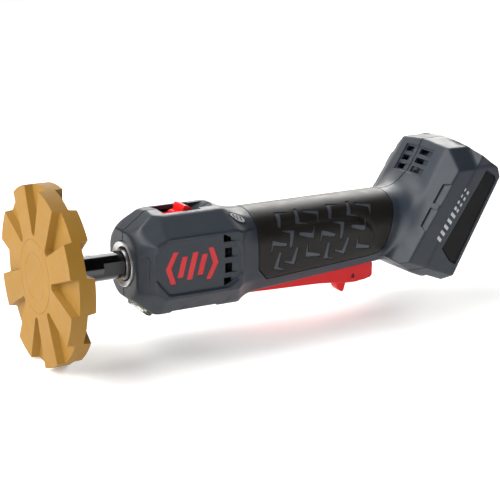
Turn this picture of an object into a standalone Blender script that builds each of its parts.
"""Cordless inline die grinder with a toothed eraser wheel.

Frame: +X runs along the spindle from the wheel to the battery foot, +Z is up, and the
origin is the centre of the wheel's outer face. Lengths here are in millimetres and are
turned into metres when a mesh is made.
"""
import math

import bmesh
import bpy
from mathutils import Matrix, Vector

MM = 0.001

# Gaps
GAP = 0.3
WALL = 2.4

# Eraser wheel and arbor
WHEEL_R = 50.0
WHEEL_T = 14.0
GROOVES = 8
GROOVE_DEPTH = 4.7
GROOVE_INNER_R = 23.6
ARBOR_R = 7.8
ARBOR_END_X = 50.5
FLAT_DISTANCE = 6.9

# Motor housing
NOSE_X = 52.4
BARREL_HALF_W = 25.5
BARREL_TOP = 28.8
BARREL_BOTTOM = -29.1
RING_R = 13.0

# Grip
GRIP_START_X = 112.0
GRIP_END_X = 238.0
GRIP_TOP = 23.6
GRIP_HALF_W = 21.3
SLEEVE_T = 1.6
SLEEVE_START_X = 127.5
SLEEVE_END_X = 222.0
CHANNEL_HALF_W = 11.0

# Battery foot
FOOT_HALF_W = 35.0
FACE_ANGLE = math.radians(60.0)
FACE_OFFSET = 233.3

# Motor and bearings
SPINDLE_R = 5.0
STATOR_X = (80.0, 97.0)
STATOR_R = 20.5
TEETH = 6
FAN_X = (103.0, 111.0)
FAN_R = 18.5

# Moving parts
LEVER_PIVOT = (131.0, 0.0, -21.0)
LEVER_HALF_W = 10.3
LATCH_PIVOT = (198.3, 0.0, -25.6)
LOCK_TRAVEL = 6.0
COLLAR_X = 66.8
PLUNGER_X = 160.0

PLASTIC = ((0.085, 0.098, 0.118), 0.55, 0.0)
RUBBER = ((0.012, 0.011, 0.010), 0.7, 0.0)
RED = ((0.62, 0.02, 0.025), 0.4, 0.0)
STEEL = ((0.55, 0.55, 0.57), 0.3, 1.0)
BLACK_STEEL = ((0.012, 0.012, 0.013), 0.2, 0.6)
COPPER = ((0.72, 0.30, 0.14), 0.3, 1.0)
BRASS = ((0.75, 0.55, 0.22), 0.3, 1.0)
BOARD = ((0.02, 0.16, 0.06), 0.5, 0.0)
ERASER = ((0.66, 0.37, 0.10), 0.75, 0.0)
CLEAR = ((0.75, 0.80, 0.74), 0.1, 0.0)


# ---------------------------------------------------------------- helpers

def clear_scene():
    for obj in list(bpy.data.objects):
        bpy.data.objects.remove(obj, do_unlink=True)


def material(name, finish):
    colour, roughness, metallic = finish
    mat = bpy.data.materials.new(name)
    mat.use_nodes = True
    shader = mat.node_tree.nodes["Principled BSDF"]
    shader.inputs["Base Color"].default_value = (*colour, 1.0)
    shader.inputs["Roughness"].default_value = roughness
    shader.inputs["Metallic"].default_value = metallic
    return mat


def make_object(name, bm, finish=PLASTIC, pivot=(0.0, 0.0, 0.0), smooth=None):
    """Make a named object from a mesh in millimetres, its origin on the pivot."""
    bmesh.ops.translate(bm, verts=bm.verts, vec=-Vector(pivot))
    bmesh.ops.scale(bm, verts=bm.verts, vec=(MM, MM, MM))
    mesh = bpy.data.meshes.new(name)
    bm.to_mesh(mesh)
    bm.free()
    mesh.materials.append(material(name, finish))
    obj = bpy.data.objects.new(name, mesh)
    obj.location = Vector(pivot) * MM
    bpy.context.collection.objects.link(obj)
    if smooth is not None:
        mesh.shade_smooth()
        mesh.set_sharp_from_angle(angle=math.radians(smooth))
    return obj


def combine(base, tool, operation="DIFFERENCE"):
    """Cut, join or intersect two meshes in millimetres, and return the result."""
    helpers = []
    for bm in (base, tool):
        bmesh.ops.triangulate(bm, faces=bm.faces)
        mesh = bpy.data.meshes.new("helper")
        bm.to_mesh(mesh)
        bm.free()
        helper = bpy.data.objects.new("helper", mesh)
        helper.hide_render = True
        helper.display_type = "WIRE"
        bpy.context.collection.objects.link(helper)
        helpers.append(helper)
    modifier = helpers[0].modifiers.new(operation.title(), "BOOLEAN")
    modifier.operation = operation
    modifier.solver = "MANIFOLD"
    modifier.object = helpers[1]
    view = bpy.context.evaluated_depsgraph_get()
    result = bmesh.new()
    result.from_object(helpers[0], view)
    bmesh.ops.dissolve_limit(result, angle_limit=math.radians(0.2), verts=result.verts, edges=result.edges)
    for helper in helpers:
        mesh = helper.data
        bpy.data.objects.remove(helper, do_unlink=True)
        bpy.data.meshes.remove(mesh)
    return result


def joined(*meshes):
    """Put several separate closed bodies into one mesh, for use as a cutter."""
    result = bmesh.new()
    for bm in meshes:
        copy = bpy.data.meshes.new("part")
        bm.to_mesh(copy)
        bm.free()
        result.from_mesh(copy)
        bpy.data.meshes.remove(copy)
    return result


def block(low, high):
    bm = bmesh.new()
    bmesh.ops.create_cube(bm, size=1.0)
    low = Vector(low)
    high = Vector(high)
    size = high - low
    bmesh.ops.scale(bm, verts=bm.verts, vec=size)
    bmesh.ops.translate(bm, verts=bm.verts, vec=(low + high) / 2)
    return bm


def facets(low, high, planes, inset=0.0, rounding=0.0):
    """Trim a block by planes given as (outward normal, point), and round its edges."""
    shrink = Vector((inset, inset, inset))
    bm = block(Vector(low) + shrink, Vector(high) - shrink)
    for normal, point in planes:
        normal = Vector(normal).normalized()
        geometry = bm.verts[:] + bm.edges[:] + bm.faces[:]
        cut = bmesh.ops.bisect_plane(bm, geom=geometry, dist=1e-5, plane_no=normal,
                                     plane_co=Vector(point) - normal * inset, clear_outer=True)
        rim = [item for item in cut["geom_cut"] if isinstance(item, bmesh.types.BMEdge)]
        if rim:
            bmesh.ops.edgeloop_fill(bm, edges=rim)
    bmesh.ops.remove_doubles(bm, verts=bm.verts, dist=0.01)
    if rounding > 0.0:
        bmesh.ops.bevel(bm, geom=bm.edges[:], offset=rounding, segments=1, affect="EDGES",
                        clamp_overlap=True)
        bmesh.ops.remove_doubles(bm, verts=bm.verts, dist=0.02)
    bmesh.ops.recalc_face_normals(bm, faces=bm.faces)
    return bm


def loft(rings):
    """Join rings with the same number of points into one closed body."""
    bm = bmesh.new()
    loops = [[bm.verts.new(point) for point in ring] for ring in rings]
    count = len(loops[0])
    for first, second in zip(loops, loops[1:]):
        for i in range(count):
            bm.faces.new((first[i], first[i - 1], second[i - 1], second[i]))
    bm.faces.new(loops[0])
    bm.faces.new(list(reversed(loops[-1])))
    bmesh.ops.recalc_face_normals(bm, faces=bm.faces)
    return bm


def prism(outline, low, high, axis="Y"):
    """Extrude an outline; along Y its points are (x, z), along Z (x, y), along X (y, z)."""
    place = {"X": lambda p, h: (h, p[0], p[1]),
             "Y": lambda p, h: (p[0], h, p[1]),
             "Z": lambda p, h: (p[0], p[1], h)}[axis]
    return loft([[place(point, height) for point in outline] for height in (low, high)])


def turned(profile, steps=32, axis="X", centre=(0.0, 0.0), ring=False):
    """Turn a profile of (distance along axis, radius) about an axis through centre."""
    place = {"X": lambda s, u, v: (s, centre[0] + u, centre[1] + v),
             "Y": lambda s, u, v: (centre[0] + u, s, centre[1] + v),
             "Z": lambda s, u, v: (centre[0] + u, centre[1] + v, s)}[axis]
    bm = bmesh.new()
    loops = []
    for s, radius in profile:
        if radius == 0.0:
            loops.append([bm.verts.new(place(s, 0.0, 0.0))])
            continue
        angles = [2 * math.pi * k / steps for k in range(steps)]
        loops.append([bm.verts.new(place(s, radius * math.cos(a), radius * math.sin(a))) for a in angles])
    pairs = list(zip(loops, loops[1:]))
    if ring:
        pairs.append((loops[-1], loops[0]))
    for first, second in pairs:
        for i in range(steps):
            if len(first) == 1:
                bm.faces.new((first[0], second[i - 1], second[i]))
            elif len(second) == 1:
                bm.faces.new((first[i - 1], first[i], second[0]))
            else:
                bm.faces.new((first[i], first[i - 1], second[i - 1], second[i]))
    bmesh.ops.recalc_face_normals(bm, faces=bm.faces)
    return bm


def rod(low, high, radius, axis="X", centre=(0.0, 0.0), steps=20):
    return turned([(low, 0.0), (low, radius), (high, radius), (high, 0.0)], steps, axis, centre)


def ring(low, high, inner, outer, axis="X", centre=(0.0, 0.0), steps=24):
    profile = [(low, inner), (low, outer), (high, outer), (high, inner)]
    return turned(profile, steps, axis, centre, ring=True)


def smooth_route(points, per_span=4):
    """Read a smooth curve through route points, as a list of vectors."""
    points = [Vector(p) for p in points]
    ends = [2 * points[0] - points[1]] + points + [2 * points[-1] - points[-2]]
    route = []
    for a, b, c, d in zip(ends, ends[1:], ends[2:], ends[3:]):
        for k in range(per_span):
            t = k / per_span
            route.append(0.5 * (2 * b + (c - a) * t + (2 * a - 5 * b + 4 * c - d) * t * t
                                + (3 * b - a - 3 * c + d) * t ** 3))
    return route + [points[-1]]


def swept(route, radius, sides=8):
    """A round tube along a route, with flat ends."""
    rings = []
    normal = None
    for i, point in enumerate(route):
        ahead = route[min(i + 1, len(route) - 1)] - route[max(i - 1, 0)]
        ahead.normalize()
        if normal is None:
            normal = ahead.orthogonal().normalized()
        normal = (normal - ahead * normal.dot(ahead)).normalized()
        side = ahead.cross(normal)
        angles = [2 * math.pi * k / sides for k in range(sides)]
        rings.append([point + radius * (math.cos(a) * normal + math.sin(a) * side) for a in angles])
    return loft(rings)


def mirrored(planes):
    """Give each plane off the middle its twin on the other side of Y."""
    result = []
    for normal, point in planes:
        result.append((normal, point))
        if normal[1] != 0.0:
            result.append(((normal[0], -normal[1], normal[2]), (point[0], -point[1], point[2])))
    return result


def plane_through(a, b, c, inside):
    """The plane through three points, facing away from a point inside the body."""
    normal = (Vector(b) - Vector(a)).cross(Vector(c) - Vector(a))
    if normal.dot(Vector(inside) - Vector(a)) > 0:
        normal = -normal
    return tuple(normal), tuple(a)


# ---------------------------------------------------------------- housing shapes

def barrel(inset=0.0, rounding=0.0):
    """The eight-sided motor barrel with its sloped nose and its slopes down to the grip."""
    middle = (90.0, 0.0, 0.0)
    side = BARREL_HALF_W
    boss = (53.6, 17.4, 16.4)
    planes = [
        ((0.0, 0.09, 1.0), (90.0, 0.0, BARREL_TOP)),
        plane_through((80.0, 12.6, 27.6), (90.0, 12.6, 27.6), (80.0, side, 17.3), middle),
        plane_through((80.0, side, -16.5), (90.0, side, -16.5), (80.0, 12.0, BARREL_BOTTOM), middle),
        plane_through((NOSE_X, 0.0, 18.6), (66.6, 0.0, BARREL_TOP), (NOSE_X, 9.0, 18.6), middle),
        plane_through((NOSE_X, 0.0, -19.0), (65.8, 0.0, BARREL_BOTTOM), (NOSE_X, 9.0, -19.0), middle),
        plane_through((53.0, 18.0, 0.0), (61.3, side, 0.0), (53.0, 18.0, 9.0), middle),
        plane_through(boss, (67.6, 10.5, 27.9), (68.4, side, 17.3), middle),
        plane_through((53.6, 16.6, -15.4), (66.0, 10.5, BARREL_BOTTOM), (67.0, side, -16.5), middle),
        plane_through((107.5, 0.0, BARREL_TOP), (121.0, 0.0, 21.0), (107.5, 9.0, BARREL_TOP), middle),
        plane_through((119.0, 0.0, BARREL_BOTTOM), (127.5, 0.0, -22.0), (119.0, 9.0, BARREL_BOTTOM), middle),
        plane_through((114.0, side, 0.0), (127.0, 17.0, 0.0), (114.0, side, 9.0), middle),
        plane_through((107.5, 13.0, 27.6), (114.0, side, 16.0), (124.0, 14.0, 18.0), middle),
        plane_through((118.0, 12.5, BARREL_BOTTOM), (114.0, side, -15.0), (126.0, 14.0, -19.0), middle),
    ]
    return facets((NOSE_X, -side, BARREL_BOTTOM), (128.0, side, BARREL_TOP + 1.0),
                  mirrored(planes), inset, rounding)


def skirt_z(x):
    """Height of the grip's lower edge, which rises towards the foot."""
    return -23.0 + 0.072 * (x - 134.0)


def grip_half_outline(x, inset=0.0, steps=7):
    """Right half of the grip's section from its top to its lower edge, as (y, z)."""
    width = GRIP_HALF_W - inset
    top = GRIP_TOP - inset
    shoulder = 3.0
    points = []
    for k in range(steps):
        angle = math.pi / 2 * k / (steps - 1)
        points.append((width * math.sin(angle) ** 0.9, shoulder + (top - shoulder) * math.cos(angle) ** 0.9))
    low = skirt_z(x) + inset
    points.append((width - 0.7, low + 9.5))
    points.append((width - 2.2, low + 6.5))
    points.append((14.2 - inset * 0.6, low))
    return points


def grip_ring(x, inset=0.0):
    """The grip's whole section at x, closed across the bottom."""
    half = grip_half_outline(x, inset)
    left = [(-y, z) for y, z in reversed(half) if y > 1e-6]
    return [(x, y, z) for y, z in half + left]


def grip(inset=0.0, start=GRIP_START_X, end=GRIP_END_X):
    stations = [start, SLEEVE_START_X, 160.0, 190.0, SLEEVE_END_X, end]
    stations = [x for x in stations if start <= x <= end]
    return loft([grip_ring(x, inset) for x in stations])


def along_face(u, t=0.0):
    """A vector from distances out of the battery face and up along it."""
    out = (math.sin(FACE_ANGLE), -math.cos(FACE_ANGLE))
    up = (math.cos(FACE_ANGLE), math.sin(FACE_ANGLE))
    return u * out[0] + t * up[0], u * out[1] + t * up[1]


FOOT_LOW = (185.0, -FOOT_HALF_W, -60.0)
FOOT_HIGH = (300.0, FOOT_HALF_W, 60.0)


def foot_planes():
    """Planes that both bodies of the foot share: the battery face and the two ends."""
    middle = (250.0, 0.0, 10.0)
    face_x, face_z = along_face(FACE_OFFSET)
    return middle, [
        ((math.sin(FACE_ANGLE), 0.0, -math.cos(FACE_ANGLE)), (face_x, 0.0, face_z)),
        plane_through((269.8, 0.0, 51.3), (289.5, 0.0, 36.0), (268.6, 35.0, 48.6), middle),
        plane_through((217.5, 0.0, -14.5), (240.3, 0.0, -30.0), (216.0, 20.0, -14.5), middle),
        plane_through((236.0, 0.0, -27.0), (256.0, 0.0, -37.4), (236.0, 12.0, -27.0), middle),
        plane_through((246.0, 28.5, -33.0), (228.0, 28.5, -22.0), (254.4, FOOT_HALF_W, -25.4), middle),
    ]


def foot_front(inset=0.0, rounding=0.0):
    """The sloped front body of the foot, which carries the vents."""
    middle, planes = foot_planes()
    planes += [
        plane_through((254.2, 0.0, 50.7), (226.0, 0.0, 8.0), (256.2, 23.0, 48.5), middle),
        plane_through((256.4, 23.0, 48.3), (236.0, 23.0, 18.3), (256.4, FOOT_HALF_W, 36.9), middle),
        ((0.0, 0.115, 1.0), (260.0, 0.0, 51.1)),
        ((0.0, 1.0, 1.0), (260.0, 24.0, 48.1)),
    ]
    return facets(FOOT_LOW, FOOT_HIGH, mirrored(planes), inset, rounding)


def foot_plate(inset=0.0, rounding=0.0):
    """The full-width plate behind the front body, around the battery face."""
    middle, planes = foot_planes()
    planes += [
        plane_through((270.6, 23.8, 48.3), (269.2, FOOT_HALF_W, 36.7), (273.9, FOOT_HALF_W, 44.3), middle),
        plane_through((258.0, 0.0, 33.0), (238.0, 0.0, 0.0), (258.0, 20.0, 33.0), middle),
    ]
    return facets(FOOT_LOW, FOOT_HIGH, mirrored(planes), inset, rounding)


def sleeve_outline(grow=0.0):
    """Side outline of the rubber sleeve, as (x, z)."""
    return [(SLEEVE_START_X - grow, 30.0), (SLEEVE_START_X - grow, -9.0 - grow * 0.5),
            (133.6 - grow * 0.5, -15.6 - grow), (204.0, -11.6 - grow), (213.5 + grow * 0.5, -10.2 - grow),
            (216.4 + grow, -7.4 - grow * 0.5), (217.6 + grow, 0.0), (SLEEVE_END_X + grow, 11.0),
            (SLEEVE_END_X + grow, 17.5), (219.5 + grow, 24.5), (217.5 + grow, 30.0)]


def slanted_block(u, y, t):
    """A block square to the battery face, from ranges out of it, across it and along it."""
    corners = [(u[0], t[0]), (u[1], t[0]), (u[1], t[1]), (u[0], t[1])]
    return prism([along_face(*corner) for corner in corners], y[0], y[1])


def side_prisms(outline, low, high):
    """The same pocket on both sides of the tool."""
    return joined(prism(outline, low, high), prism(outline, -high, -low))


PANEL_OUTLINE = [(68.4, 16.3), (60.6, 9.2), (60.6, -5.6), (68.2, -15.0), (105.5, -15.4), (112.5, -11.5),
                 (115.0, -7.5), (115.0, 5.5), (112.0, 12.0), (104.0, 16.0)]
PAD_OUTLINE = [(276.7, 35.5), (283.3, 30.8), (284.0, 28.8), (255.4, -20.4), (251.0, -18.2), (245.0, -9.2)]
LENS_OUTLINE = [(57.3, -21.9), (57.5, -24.9), (63.2, -30.1), (65.6, -30.9), (67.2, -29.4), (66.9, -26.6),
                (61.0, -21.3)]
SCREWS = [(61.5, 19.8, 12.0), (74.5, -23.3, 13.5), (101.0, -23.3, 13.5), (140.0, 7.0, 18.0),
          (205.0, 5.0, 18.0), (257.0, 38.5, 24.0), (230.0, -11.0, 33.4)]
BOSS_R = 3.3
SCREW_HEAD_R = 2.8
SCREW_R = 1.45


def shell_outside():
    """Outer form of both housing halves before they are split, with its pockets."""
    shell = barrel(0.0, 1.0)
    for body in (grip(0.0), foot_front(0.0, 1.0), foot_plate(0.0, 1.0)):
        shell = combine(shell, body, "UNION")
    band = combine(prism(sleeve_outline(GAP), -30.0, 30.0), grip(SLEEVE_T + 1.5 * GAP, 112.0, 238.0))
    shell = combine(shell, band)
    shell = combine(shell, side_prisms(PANEL_OUTLINE, 24.5, 30.0))
    return combine(shell, prism([(73.4, -30.0), (75.6, -27.6), (104.2, -27.6), (106.6, -30.0)], -20.0, 20.0))


def hollow_out(shell):
    """Cut the cavities, then add the ribs, seats and bosses inside."""
    for cavity in (barrel(WALL), grip(WALL + SLEEVE_T + GAP, 114.0, 240.0), foot_front(WALL), foot_plate(WALL)):
        shell = combine(shell, cavity)
    inside = [
        rod(53.4, 66.0, 16.5, steps=32),
        block((80.5, -24.0, -15.5), (83.0, 24.0, 15.5)),
        block((93.5, -24.0, -15.5), (96.0, 24.0, 15.5)),
        block((113.6, -20.4, -12.9), (120.6, 20.4, 12.9)),
        block((96.8, -10.0, 23.8), (107.4, 10.0, 27.2)),
        block((174.0, -18.0, -9.0), (184.0, 18.0, -6.4)),
        slanted_block((218.6, 232.0), (-30.0, 30.0), (100.0, 172.0)),
    ]
    for x, z, reach in SCREWS:
        inside.append(rod(-reach, reach, BOSS_R, "Y", (x, z), 16))
    for piece in inside:
        shell = combine(shell, piece, "UNION")
    return shell


def open_up(shell):
    """Cut every opening through the walls."""
    vents = [
        [(102.8, 16.0), (102.8, 11.0), (108.0, 11.0), (106.0, 13.5)],
        [(102.8, 7.7), (102.8, 2.2), (107.8, 2.2), (107.8, 7.7)],
        [(102.8, -1.1), (102.8, -6.6), (107.8, -6.6), (107.8, -1.1)],
        [(102.8, -9.4), (102.8, -14.0), (105.0, -12.0), (107.0, -9.4)],
    ]
    cutters = [
        rod(40.0, 67.0, RING_R + GAP, steps=40),
        rod(70.0, 99.0, STATOR_R + GAP, steps=40),
        rod(113.0, 121.0, 9.8, steps=32),
        block((73.4, -9.0, 20.0), (96.6, 9.0, 35.0)),
        prism([(96.0, 25.2), (106.0, 29.0), (106.0, 33.0), (96.0, 33.0)], -7.0, 7.0),
    ]
    cutters += [side_prisms(vent, 20.0, 30.0) for vent in vents]
    for row in range(3):
        t = 0.551 * 253.0 + 0.834 * 44.6 - 6.7 * row
        outline = [(0.834 * s + 0.551 * h, -0.551 * s + 0.834 * h)
                   for s, h in ((176.0, t - 1.9), (188.5, t - 1.9), (188.5, t + 1.9), (176.0, t + 1.9))]
        cutters.append(side_prisms(outline, 3.4, 13.2))
    cutters.append(side_prisms(PAD_OUTLINE, 33.4, 40.0))
    for outline in ([(252.4, 29.4), (248.8, 29.2), (241.4, 17.6), (244.4, 17.0)],
                    [(240.2, 15.8), (233.2, 4.6), (235.6, 1.2), (243.2, 14.8)]):
        cutters.append(side_prisms(outline, 29.8, 40.0))
    cutters += [
        prism([(56.9, -20.4), (57.0, -32.0), (67.6, -32.0), (67.6, -26.4), (61.2, -20.4)], -6.8, 6.8),
        block((124.9, -CHANNEL_HALF_W, -40.0), (213.4, CHANNEL_HALF_W, -12.6)),
        slanted_block((221.4, 250.0), (-27.0, 27.0), (80.0, 168.0)),
        rod(-12.8, 12.8, 1.6, "Y", (LEVER_PIVOT[0], LEVER_PIVOT[2]), 12),
    ]
    for x, z, reach in SCREWS:
        profile = [(-reach + 2.0, 0.0), (-reach + 2.0, SCREW_R + GAP), (reach - 5.0, SCREW_R + GAP),
                   (reach - 5.0, SCREW_HEAD_R + GAP), (40.0, SCREW_HEAD_R + GAP), (40.0, 0.0)]
        cutters.append(turned(profile, 12, "Y", (x, z)))
    for cutter in cutters:
        shell = combine(shell, cutter)
    return shell


def housing():
    shell = open_up(hollow_out(shell_outside()))
    for name, side in (("housing_left", -1), ("housing_right", 1)):
        low, high = sorted((side * GAP / 2, side * 60.0))
        half = combine(shell.copy(), block((40.0, low, -60.0), (300.0, high, 60.0)), "INTERSECT")
        make_object(name, half, PLASTIC, smooth=30)
    shell.free()


def grip_sleeve():
    """Rubber over-moulding round the top and both sides of the grip, open below."""
    body = combine(prism(sleeve_outline(), -30.0, 30.0), grip(SLEEVE_T, 112.0, 238.0))
    body = combine(body, grip(0.0, 113.0, 237.0), "INTERSECT")
    make_object("grip_sleeve", body, RUBBER, smooth=30)


def side_pads():
    for name, side in (("foot_pad_left", -1), ("foot_pad_right", 1)):
        outline = [(264.6 + (x - 264.6) * 0.978, 5.0 + (z - 5.0) * 0.978) for x, z in PAD_OUTLINE]
        low, high = sorted((side * (33.4 + GAP), side * (FOOT_HALF_W + 0.2)))
        make_object(name, prism(outline, low, high), RUBBER)


# ---------------------------------------------------------------- wheel and arbor

def sector(angle, inner_r, outer_r, inner_half, outer_half, low, high, taper=0.8):
    """A groove cutter that flares from a narrow rounded end to the rim."""
    rings = []
    for x, grow in ((low, 0.0), (high, taper)):
        outline = []
        for k in range(5):
            turn = math.pi * (k / 4 - 0.5)
            reach = inner_half + grow
            outline.append((inner_r - grow + reach * (1.0 - math.cos(turn)), reach * math.sin(turn)))
        outline += [(outer_r, outer_half + grow), (outer_r, -outer_half - grow)]
        rings.append([(x, r * math.cos(angle) - w * math.sin(angle), r * math.sin(angle) + w * math.cos(angle))
                      for r, w in outline])
    return loft(rings)


def eraser_wheel():
    """Rubber disc with flared grooves that alternate between its two faces."""
    outline = [(0.0, 0.0), (0.0, WHEEL_R - 0.4), (0.4, WHEEL_R), (WHEEL_T - 0.4, WHEEL_R),
               (WHEEL_T, WHEEL_R - 0.4), (WHEEL_T, 18.3), (10.2, 18.3), (10.2, 4.5), (5.5, 4.5), (5.5, 0.0)]
    wheel = turned(outline, 64)
    pitch = 2 * math.pi / GROOVES
    half = WHEEL_R * math.sin(pitch / 4)
    reach = WHEEL_R * 1.08
    flare = half * (reach - GROOVE_INNER_R) / (WHEEL_R - GROOVE_INNER_R)
    for k in range(GROOVES):
        front = sector(k * pitch, GROOVE_INNER_R, reach, 1.6, flare, GROOVE_DEPTH, -1.0)
        back = sector((k + 0.5) * pitch, GROOVE_INNER_R, reach, 1.6, flare, WHEEL_T - GROOVE_DEPTH, WHEEL_T + 1.0)
        wheel = combine(combine(wheel, front), back)
    make_object("eraser_wheel", wheel, ERASER, smooth=30)


def arbor_parts():
    make_object("wheel_insert", ring(10.5, 13.7, 4.3, 18.0), STEEL, smooth=30)
    profile = [(6.0, 0.0), (6.0, 4.0), (13.9, 4.0), (13.9, 7.2), (14.6, ARBOR_R), (49.9, ARBOR_R),
               (ARBOR_END_X, 7.3), (ARBOR_END_X, 4.3), (40.0, 4.3), (40.0, 0.0)]
    arbor = turned(profile, 32)
    for side in (-1, 1):
        low, high = sorted((side * FLAT_DISTANCE, side * 12.0))
        arbor = combine(arbor, block((37.6, low, -10.0), (51.0, high, 10.0)))
    make_object("wheel_arbor", arbor, BLACK_STEEL, smooth=30)


def spindle_parts():
    profile = [(41.0, 0.0), (41.0, 4.0), (ARBOR_END_X + GAP, 4.0), (ARBOR_END_X + GAP, 8.4), (52.4, 8.9),
               (56.2, 8.9), (56.2, SPINDLE_R), (112.6, SPINDLE_R), (112.6, 4.0), (122.0, 4.0), (122.0, 0.0)]
    make_object("spindle", turned(profile, 24), STEEL, smooth=30)
    make_object("front_bearing_inner", ring(57.0, 64.0, SPINDLE_R + GAP, 6.9), STEEL, smooth=30)
    make_object("front_bearing_outer", ring(57.0, 64.0, 8.2, 11.0), STEEL, smooth=30)
    make_object("rear_bearing_inner", ring(114.0, 120.0, 4.3, 5.9), STEEL, smooth=30)
    make_object("rear_bearing_outer", ring(114.0, 120.0, 7.0, 9.5), STEEL, smooth=30)
    profile = [(51.6, 12.2), (52.0, RING_R), (66.6, RING_R), (66.6, 11.3), (56.7, 11.3), (56.7, 9.8), (53.6, 9.8)]
    make_object("nose_ring", turned(profile, 40, ring=True), STEEL, smooth=30)
    collar = ring(COLLAR_X, COLLAR_X + 4.0, SPINDLE_R + GAP, 9.0)
    for side in (-1, 1):
        low, high = sorted((side * 6.6, side * 12.0))
        collar = combine(collar, block((60.0, low, -12.0), (80.0, high, 12.0)))
        collar = combine(collar, block((60.0, -12.0, low), (80.0, 12.0, high)))
    make_object("lock_collar", collar, STEEL, smooth=30)


def motor():
    low, high = STATOR_X
    core = ring(low, high, 17.4, STATOR_R, steps=48)
    for k in range(TEETH):
        angle = 2 * math.pi * k / TEETH
        tooth = block((low, 11.3, -2.6), (high, 17.8, 2.6))
        shoe = block((low, 11.3, -4.4), (high, 12.6, 4.4))
        for bm in (tooth, shoe):
            bmesh.ops.rotate(bm, verts=bm.verts, cent=(0, 0, 0),
                             matrix=Matrix.Rotation(angle, 3, "X"))
            core = combine(core, bm, "UNION")
    make_object("stator_core", core, STEEL, smooth=30)
    for k in range(TEETH):
        angle = 2 * math.pi * k / TEETH
        coil = combine(block((low - 3.4, 13.0, -4.6), (high + 3.4, 16.6, 4.6)),
                       block((low - 0.4, 12.0, -3.0), (high + 0.4, 17.6, 3.0)))
        bmesh.ops.rotate(coil, verts=coil.verts, cent=(0, 0, 0), matrix=Matrix.Rotation(angle, 3, "X"))
        make_object(f"stator_coil_{k + 1}", coil, COPPER)
    make_object("rotor_core", ring(low, high, SPINDLE_R + GAP, 7.6), STEEL, smooth=30)
    make_object("rotor_magnet", ring(low, high, 7.9, 10.6), BLACK_STEEL, smooth=30)
    make_object("sensor_board", ring(100.9, 102.1, 7.0, 17.6), BOARD, smooth=30)


def fan():
    low, high = FAN_X
    body = ring(high - 1.4, high, SPINDLE_R + GAP, FAN_R, steps=36)
    body = combine(body, ring(low, high - 0.7, SPINDLE_R + GAP, 8.0), "UNION")
    blades = 9
    for k in range(blades):
        angle = 2 * math.pi * k / blades
        blade = prism([(7.0, -0.7), (18.0, 3.4), (17.6, 4.6), (7.0, 0.7)], low + 0.6, high - 0.7, "X")
        bmesh.ops.rotate(blade, verts=blade.verts, cent=(0, 0, 0), matrix=Matrix.Rotation(angle, 3, "X"))
        body = combine(body, blade, "UNION")
    make_object("cooling_fan", body, PLASTIC, smooth=30)


# ---------------------------------------------------------------- spindle lock and lamp

def spindle_lock():
    carrier = block((72.6, -8.4, 22.0), (93.6, 8.4, 24.2))
    fin = prism([(82.2, 24.0), (82.2, 27.0), (84.4, 27.2), (85.0, 29.6), (86.0, 30.3), (88.2, 30.1),
                 (90.6, 29.2), (92.4, 27.8), (93.4, 26.0), (93.4, 24.0)], -7.6, 7.6)
    button = combine(carrier, fin, "UNION")
    make_object("lock_button", button, RED, pivot=(88.0, 0.0, 24.0))
    rest_x = COLLAR_X + LOCK_TRAVEL
    fork = block((rest_x, -11.0, -7.0), (rest_x + 2.8, 11.0, 21.6))
    fork = combine(fork, block((70.0, -7.0, -9.0), (78.0, 7.0, 7.6)))
    make_object("lock_fork", fork, STEEL, pivot=(74.0, 0.0, 0.0))


def lamp():
    make_object("lamp_lens", prism(LENS_OUTLINE, -6.4, 6.4), CLEAR, smooth=20)
    make_object("lamp_board", prism([(59.2, -19.2), (65.4, -24.3), (66.3, -23.2), (60.1, -18.1)], -5.0, 5.0), BOARD)


# ---------------------------------------------------------------- switch and lever

def switch():
    body = block((146.0, -8.5, -8.0), (172.0, 8.5, 4.5))
    body = combine(body, rod(-9.0, -1.0, 3.3, "Z", (PLUNGER_X, 0.0), 16))
    make_object("switch_body", body, RUBBER)
    make_object("switch_plunger", rod(-16.6, -4.6, 3.0, "Z", (PLUNGER_X, 0.0), 16), RED,
                pivot=(PLUNGER_X, 0.0, -10.0), smooth=30)


LEVER_OUTLINE = [(125.7, -25.4), (173.7, -27.1), (188.0, -28.4), (194.5, -29.5), (200.5, -29.7), (207.0, -29.0),
                 (211.0, -28.2), (212.4, -26.8), (212.4, -19.0), (209.0, -17.6), (135.0, -19.2), (128.0, -20.0),
                 (125.7, -23.0)]


def lever():
    """Red squeeze lever: a channel open at the top, with a hinge boss and a switch post."""
    body = prism(LEVER_OUTLINE, -LEVER_HALF_W, LEVER_HALF_W)
    hollow = prism([(136.0, -23.6), (173.0, -24.8), (194.5, -27.2), (209.8, -26.9), (209.8, -10.0), (136.0, -10.0)],
                   -8.3, 8.3)
    body = combine(body, hollow)
    body = combine(body, block((155.0, -4.0, -25.5), (165.0, 4.0, -17.0)), "UNION")
    for side in (-1, 1):
        low, high = sorted((side * 4.4, side * 8.8))
        body = combine(body, block((195.0, low, -28.0), (201.6, high, -22.6)), "UNION")
    body = combine(body, block((184.4, -3.8, -40.0), (203.0, 3.8, -10.0)))
    body = combine(body, rod(-20.0, 20.0, 1.6, "Y", (LEVER_PIVOT[0], LEVER_PIVOT[2]), 16))
    body = combine(body, rod(-20.0, 20.0, 1.3, "Y", (LATCH_PIVOT[0], LATCH_PIVOT[2]), 12))
    make_object("lever", body, RED, pivot=LEVER_PIVOT, smooth=20)
    make_object("lever_pin", rod(-12.5, 12.5, 1.3, "Y", (LEVER_PIVOT[0], LEVER_PIVOT[2]), 16), STEEL, smooth=30)


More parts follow.
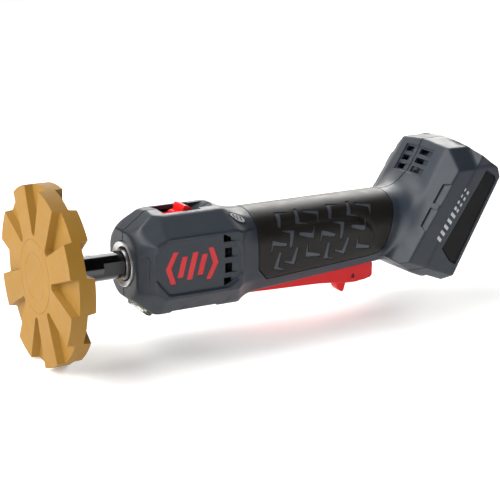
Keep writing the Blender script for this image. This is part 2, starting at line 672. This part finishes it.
def latch():
    """Lock-off tab that swings on a pin in the lever."""
    outline = [(188.2, -29.0), (188.2, -32.6), (190.8, -35.0), (194.2, -36.8), (195.9, -36.3), (197.8, -31.6),
               (200.8, -28.6), (201.2, -24.4), (199.8, -22.6), (197.2, -22.4), (195.2, -24.0), (192.5, -28.2)]
    body = combine(prism(outline, -3.4, 3.4), rod(-10.0, 10.0, 1.3, "Y", (LATCH_PIVOT[0], LATCH_PIVOT[2]), 12))
    make_object("lock_off_latch", body, RED, pivot=LATCH_PIVOT)
    make_object("latch_pin", rod(-9.9, 9.9, 1.0, "Y", (LATCH_PIVOT[0], LATCH_PIVOT[2]), 12), BLACK_STEEL,
                pivot=LATCH_PIVOT, smooth=30)


def lever_spring():
    turns = 5
    low, high = -25.2, -9.4
    count = turns * 10
    route = []
    for k in range(count + 1):
        angle = 2 * math.pi * k / 10
        height = low + 0.6 + (high - low - 1.2) * k / count
        route.append(Vector((179.0 + 3.6 * math.cos(angle), 3.6 * math.sin(angle), height)))
    make_object("lever_spring", swept(route, 0.5, 6), STEEL, smooth=40)


# ---------------------------------------------------------------- electronics

def electronics():
    case = slanted_block((204.0, 217.6), (-20.0, 20.0), (113.0, 147.0))
    case = combine(case, slanted_block((200.0, 215.8), (-18.4, 18.4), (114.6, 145.4)))
    make_object("controller_case", case, RUBBER)
    make_object("controller_board", slanted_block((212.0, 213.6), (-18.0, 18.0), (115.0, 145.0)), BOARD)
    sink = slanted_block((206.0, 211.6), (-12.0, 12.0), (119.0, 141.0))
    for k in range(5):
        y = -9.6 + 4.8 * k
        sink = combine(sink, slanted_block((200.0, 209.8), (y - 1.2, y + 1.2), (110.0, 150.0)))
    make_object("heat_sink", sink, STEEL)
    make_object("terminal_block", slanted_block((221.8, 225.6), (-14.0, 14.0), (118.0, 152.0)), RUBBER)
    for k, y in enumerate((-9.0, 0.0, 9.0)):
        make_object(f"battery_terminal_{k + 1}", slanted_block((225.9, 230.6), (y - 0.5, y + 0.5), (124.0, 146.0)),
                    BRASS)


def wires():
    """The three motor leads along the top of the grip."""
    colours = [((0.6, 0.02, 0.02), 0.4, 0.0), ((0.02, 0.02, 0.02), 0.4, 0.0), ((0.7, 0.7, 0.68), 0.4, 0.0)]
    above_x, above_z = along_face(203.0, 152.4)
    end_x, end_z = along_face(209.4, 148.8)
    for k, y in enumerate((-6.0, 0.0, 6.0)):
        route = [(99.6, y, 20.4), (106.0, y, 21.4), (112.5, y, 20.0), (121.0, y, 15.6), (150.0, y, 14.4),
                 (190.0, y, 14.4), (226.0, y, 14.4), (238.0, y, 16.6), (247.0, y, 26.0), (above_x, y, above_z),
                 (above_x + 3.6, y, above_z - 0.6), (end_x, y, end_z)]
        make_object(f"motor_lead_{k + 1}", swept(smooth_route(route, 2), 1.2, 6), colours[k], smooth=50)


def screws():
    for k, (x, z, reach) in enumerate(SCREWS):
        base = reach - 5.0 + GAP
        profile = [(-reach + 3.0, 0.0), (-reach + 3.0, SCREW_R), (base, SCREW_R), (base, SCREW_HEAD_R),
                   (base + 2.2, SCREW_HEAD_R), (base + 2.6, 2.3), (base + 2.6, 1.3), (base + 1.4, 1.3),
                   (base + 1.4, 0.0)]
        make_object(f"housing_screw_{k + 1}", turned(profile, 12, "Y", (x, z)), BLACK_STEEL, smooth=30)


def main():
    clear_scene()
    housing()
    grip_sleeve()
    side_pads()
    eraser_wheel()
    arbor_parts()
    spindle_parts()
    motor()
    fan()
    spindle_lock()
    lamp()
    switch()
    lever()
    latch()
    lever_spring()
    electronics()
    wires()
    screws()


main()
